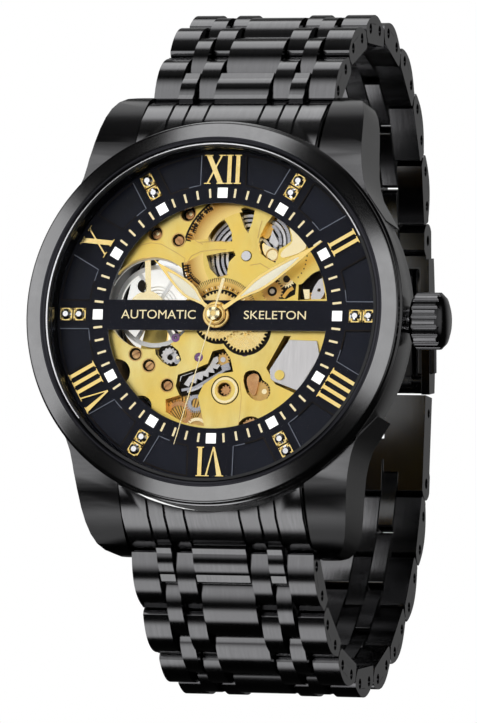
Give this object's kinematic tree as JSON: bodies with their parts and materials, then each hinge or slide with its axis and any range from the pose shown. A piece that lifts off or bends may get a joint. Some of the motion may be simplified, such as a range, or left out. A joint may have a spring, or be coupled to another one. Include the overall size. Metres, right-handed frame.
{
  "type": "wristwatch",
  "caption": "Skeleton automatic wristwatch: round black steel case, see-through dial with gilt movement, and a seven-row link bracelet with folding clasp.",
  "frame": {"origin": "centre of the case back's flat outer face, on the hands' axis", "axes": "+X towards 3 o'clock and the crown, +Z towards 12 o'clock, -Y out through the dial and crystal, +Y out of the case back towards the wrist and the clasp"},
  "size_m": [0.0476, 0.0636, 0.0793],
  "materials": {
    "black_steel": "black plated, polished with satin bands",
    "black_steel_satin": "black plated, satin",
    "steel": "polished steel",
    "dial_black": "satin black lacquer",
    "gold": "polished gold plate",
    "stone": "clear cut glass",
    "crystal": "clear polished",
    "seal": "matte",
    "holder": "matte white",
    "gilt_plate": "gilt, brushed",
    "jewel": "polished synthetic ruby"
  },
  "bodies": {
    "case": {"mid_case": "black_steel", "bezel": "black_steel", "front_crystal": "crystal", "gaskets": "seal", "rehaut_ring": "black_steel", "dial": "dial_black", "hour_markers": "gold", "dial_stones": "stone", "case_back": "black_steel", "back_crystal": "crystal", "movement_holder": "holder", "crown_tube": "steel", "end_links": "black_steel", "spring_bars": "steel", "mainplate": "gilt_plate", "barrel_bridge": "gilt_plate", "train_bridge": "gilt_plate", "balance_cock": "gilt_plate", "bridge_screws": "steel", "pivot_jewels": "jewel"},
    "sliding_pinion": {"sliding_pinion": "steel"},
    "crown": {"crown": "black_steel", "winding_stem": "steel"},
    "setting_lever": {"setting_lever": "steel"},
    "ratchet": {"ratchet_wheel": "steel"},
    "fourth_wheel": {"fourth_wheel": "gilt_plate", "seconds_hand": "gold"},
    "centre_wheel": {"centre_wheel": "gilt_plate", "minute_hand": "gold"},
    "third_wheel": {"third_wheel": "steel"},
    "barrel": {"mainspring_barrel": "gilt_plate", "mainspring": "steel"},
    "escape_wheel": {"escape_wheel": "steel"},
    "minute_wheel": {"minute_wheel": "steel"},
    "hour_wheel": {"hour_wheel": "steel", "hour_hand": "gold"},
    "pallet_fork": {"pallet_fork": "steel"},
    "balance": {"balance_wheel": "gilt_plate"},
    "rotor": {"rotor": "gilt_plate"},
    "link_upper_1": {"link_upper_1": "black_steel"},
    "link_upper_2": {"link_upper_2": "black_steel"},
    "link_upper_3": {"link_upper_3": "black_steel"},
    "link_upper_4": {"link_upper_4": "black_steel"},
    "link_upper_5": {"link_upper_5": "black_steel"},
    "link_upper_6": {"link_upper_6": "black_steel"},
    "link_upper_7": {"link_upper_7": "black_steel"},
    "clasp_cover": {"clasp_cover": "black_steel"},
    "clasp_blade_inner": {"clasp_blade_inner": "black_steel_satin"},
    "clasp_blade_outer": {"clasp_blade_outer": "black_steel_satin"},
    "clasp_button_right": {"clasp_button_right": "black_steel_satin"},
    "clasp_button_left": {"clasp_button_left": "black_steel_satin"},
    "link_lower_1": {"link_lower_1": "black_steel"},
    "link_lower_2": {"link_lower_2": "black_steel"},
    "link_lower_3": {"link_lower_3": "black_steel"},
    "link_lower_4": {"link_lower_4": "black_steel"},
    "link_lower_5": {"link_lower_5": "black_steel"},
    "link_lower_6": {"link_lower_6": "black_steel"},
    "link_lower_7": {"link_lower_7": "black_steel"},
    "link_lower_8": {"link_lower_8": "black_steel"},
    "link_lower_9": {"link_lower_9": "black_steel"}
  },
  "joints": [
    {"name": "crown_turn", "type": "hinge", "parent": "case", "child": "sliding_pinion", "pos_m": [0, -0.006, 0], "axis": [1, 0, 0], "continuous": true},
    {"name": "crown_pull", "type": "slide", "parent": "sliding_pinion", "child": "crown", "axis": [1, 0, 0], "range_m": [0, 0.0015]},
    {"name": "setting_lever_turn", "type": "hinge", "parent": "case", "child": "setting_lever", "pos_m": [0.0074, -0.0083, -0.0066], "axis": [0, -1, 0], "range_deg": [0, 6]},
    {"name": "ratchet_turn", "type": "hinge", "parent": "case", "child": "ratchet", "pos_m": [0.0028, 0, 0.0069], "axis": [0, -1, 0], "continuous": true},
    {"name": "seconds_turn", "type": "hinge", "parent": "case", "child": "fourth_wheel", "pos_m": [0, 0, 0], "axis": [0, -1, 0], "continuous": true},
    {"name": "minute_turn", "type": "hinge", "parent": "case", "child": "centre_wheel", "pos_m": [0, 0, 0], "axis": [0, -1, 0], "continuous": true},
    {"name": "third_turn", "type": "hinge", "parent": "case", "child": "third_wheel", "pos_m": [0.00311, 0, -0.00397], "axis": [0, -1, 0], "continuous": true},
    {"name": "barrel_turn", "type": "hinge", "parent": "case", "child": "barrel", "pos_m": [0.0028, 0, 0.0069], "axis": [0, -1, 0], "continuous": true},
    {"name": "escape_turn", "type": "hinge", "parent": "case", "child": "escape_wheel", "pos_m": [-0.0022, 0, -0.0046], "axis": [0, -1, 0], "continuous": true},
    {"name": "minute_wheel_turn", "type": "hinge", "parent": "case", "child": "minute_wheel", "pos_m": [0.0031, 0, -0.0014], "axis": [0, -1, 0], "continuous": true},
    {"name": "hour_turn", "type": "hinge", "parent": "case", "child": "hour_wheel", "pos_m": [0, 0, 0], "axis": [0, -1, 0], "continuous": true},
    {"name": "pallet_rock", "type": "hinge", "parent": "case", "child": "pallet_fork", "pos_m": [-0.005, 0, -0.0024], "axis": [0, -1, 0], "range_deg": [-3.7, 3.7]},
    {"name": "balance_swing", "type": "hinge", "parent": "case", "child": "balance", "pos_m": [-0.0081, 0, 0.0015], "axis": [0, -1, 0], "range_deg": [-270, 270], "stiffness_Nm_per_rad": 0.000002},
    {"name": "rotor_turn", "type": "hinge", "parent": "case", "child": "rotor", "pos_m": [0, 0, 0], "axis": [0, -1, 0], "continuous": true},
    {"name": "upper_hinge_1", "type": "hinge", "parent": "case", "child": "link_upper_1", "pos_m": [0, -0.0008, 0.0271], "axis": [1, 0, 0], "range_deg": [0, 22]},
    {"name": "upper_hinge_2", "type": "hinge", "parent": "link_upper_1", "child": "link_upper_2", "pos_m": [0, 0.00512, 0.03314], "axis": [1, 0, 0], "range_deg": [0, 22]},
    {"name": "upper_hinge_3", "type": "hinge", "parent": "link_upper_2", "child": "link_upper_3", "pos_m": [0, 0.01268, 0.03693], "axis": [1, 0, 0], "range_deg": [0, 22]},
    {"name": "upper_hinge_4", "type": "hinge", "parent": "link_upper_3", "child": "link_upper_4", "pos_m": [0, 0.02107, 0.03804], "axis": [1, 0, 0], "range_deg": [0, 22]},
    {"name": "upper_hinge_5", "type": "hinge", "parent": "link_upper_4", "child": "link_upper_5", "pos_m": [0, 0.02936, 0.03635], "axis": [1, 0, 0], "range_deg": [0, 22]},
    {"name": "upper_hinge_6", "type": "hinge", "parent": "link_upper_5", "child": "link_upper_6", "pos_m": [0, 0.03659, 0.03195], "axis": [1, 0, 0], "range_deg": [0, 22]},
    {"name": "upper_hinge_7", "type": "hinge", "parent": "link_upper_6", "child": "link_upper_7", "pos_m": [0, 0.04189, 0.02536], "axis": [1, 0, 0], "range_deg": [0, 22]},
    {"name": "cover_hinge", "type": "hinge", "parent": "link_upper_7", "child": "clasp_cover", "pos_m": [0, 0.04485, 0.01744], "axis": [1, 0, 0], "range_deg": [0, 22]},
    {"name": "inner_blade_hinge", "type": "hinge", "parent": "clasp_cover", "child": "clasp_blade_inner", "pos_m": [0, 0.04816, 0.00095], "axis": [1, 0, 0], "range_deg": [0, 60]},
    {"name": "outer_blade_hinge", "type": "hinge", "parent": "clasp_blade_inner", "child": "clasp_blade_outer", "pos_m": [0, 0.04498, 0.01307], "axis": [-1, 0, 0], "range_deg": [0, 115]},
    {"name": "button_right_press", "type": "slide", "parent": "clasp_cover", "child": "clasp_button_right", "axis": [-1, 0, 0], "range_m": [0, 0.0006], "stiffness_N_per_m": 300},
    {"name": "button_left_press", "type": "slide", "parent": "clasp_cover", "child": "clasp_button_left", "axis": [1, 0, 0], "range_m": [0, 0.0006], "stiffness_N_per_m": 300},
    {"name": "lower_hinge_1", "type": "hinge", "parent": "case", "child": "link_lower_1", "pos_m": [0, -0.0008, -0.0271], "axis": [-1, 0, 0], "range_deg": [0, 22]},
    {"name": "lower_hinge_2", "type": "hinge", "parent": "link_lower_1", "child": "link_lower_2", "pos_m": [0, 0.00524, -0.03302], "axis": [-1, 0, 0], "range_deg": [0, 22]},
    {"name": "lower_hinge_3", "type": "hinge", "parent": "link_lower_2", "child": "link_lower_3", "pos_m": [0, 0.0128, -0.03682], "axis": [-1, 0, 0], "range_deg": [0, 22]},
    {"name": "lower_hinge_4", "type": "hinge", "parent": "link_lower_3", "child": "link_lower_4", "pos_m": [0, 0.02116, -0.03816], "axis": [-1, 0, 0], "range_deg": [0, 22]},
    {"name": "lower_hinge_5", "type": "hinge", "parent": "link_lower_4", "child": "link_lower_5", "pos_m": [0, 0.0295, -0.03678], "axis": [-1, 0, 0], "range_deg": [0, 22]},
    {"name": "lower_hinge_6", "type": "hinge", "parent": "link_lower_5", "child": "link_lower_6", "pos_m": [0, 0.037, -0.03286], "axis": [-1, 0, 0], "range_deg": [0, 22]},
    {"name": "lower_hinge_7", "type": "hinge", "parent": "link_lower_6", "child": "link_lower_7", "pos_m": [0, 0.04303, -0.02693], "axis": [-1, 0, 0], "range_deg": [0, 22]},
    {"name": "lower_hinge_8", "type": "hinge", "parent": "link_lower_7", "child": "link_lower_8", "pos_m": [0, 0.04721, -0.01957], "axis": [-1, 0, 0], "range_deg": [0, 22]},
    {"name": "lower_hinge_9", "type": "hinge", "parent": "link_lower_8", "child": "link_lower_9", "pos_m": [0, 0.04927, -0.01137], "axis": [-1, 0, 0], "range_deg": [0, 22]}
  ],
  "couplings": [
    {"joint": "setting_lever_turn", "follows": "crown_pull", "rad_per_m": 68.417},
    {"joint": "third_turn", "follows": "seconds_turn", "ratio": -0.13333},
    {"joint": "minute_turn", "follows": "seconds_turn", "ratio": 0.016667},
    {"joint": "barrel_turn", "follows": "seconds_turn", "ratio": -0.0062802},
    {"joint": "escape_turn", "follows": "seconds_turn", "ratio": -10},
    {"joint": "minute_wheel_turn", "follows": "seconds_turn", "ratio": -0.0055556},
    {"joint": "hour_turn", "follows": "seconds_turn", "ratio": 0.0013889}
  ]
}
